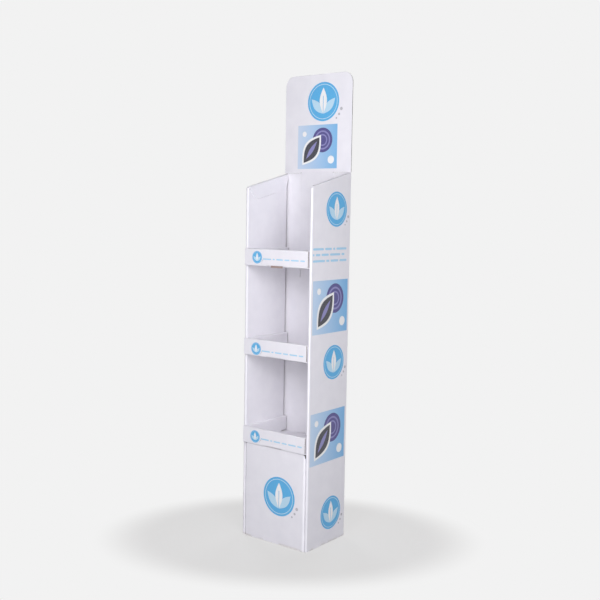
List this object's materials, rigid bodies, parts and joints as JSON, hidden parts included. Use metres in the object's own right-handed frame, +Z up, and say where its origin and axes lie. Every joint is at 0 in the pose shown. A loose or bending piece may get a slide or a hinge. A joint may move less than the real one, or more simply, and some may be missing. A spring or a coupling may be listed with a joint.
{
  "type": "cardboard floor display stand",
  "caption": "Tall corrugated board floor stand, open at the front, with rolled shelf trays, a closed kick panel and a tall header card with rounded corners.",
  "frame": {"origin": "centre of the body's footprint on the floor", "axes": "+Z up, -Y towards the open front, +X to the right of someone who faces the back of the stand from its front"},
  "size_m": [0.302, 0.242, 1.7004],
  "materials": {
    "white_board": "matte",
    "brown_board": "matte"
  },
  "bodies": {
    "root": {"body_shell": "white_board", "header_card": "white_board", "top_tray": "white_board", "middle_tray": "white_board", "bottom_tray": "white_board", "kick_panel": "white_board", "base_tray": "brown_board", "riser_crosswise": "brown_board", "riser_lengthwise": "brown_board"}
  },
  "joints": []
}
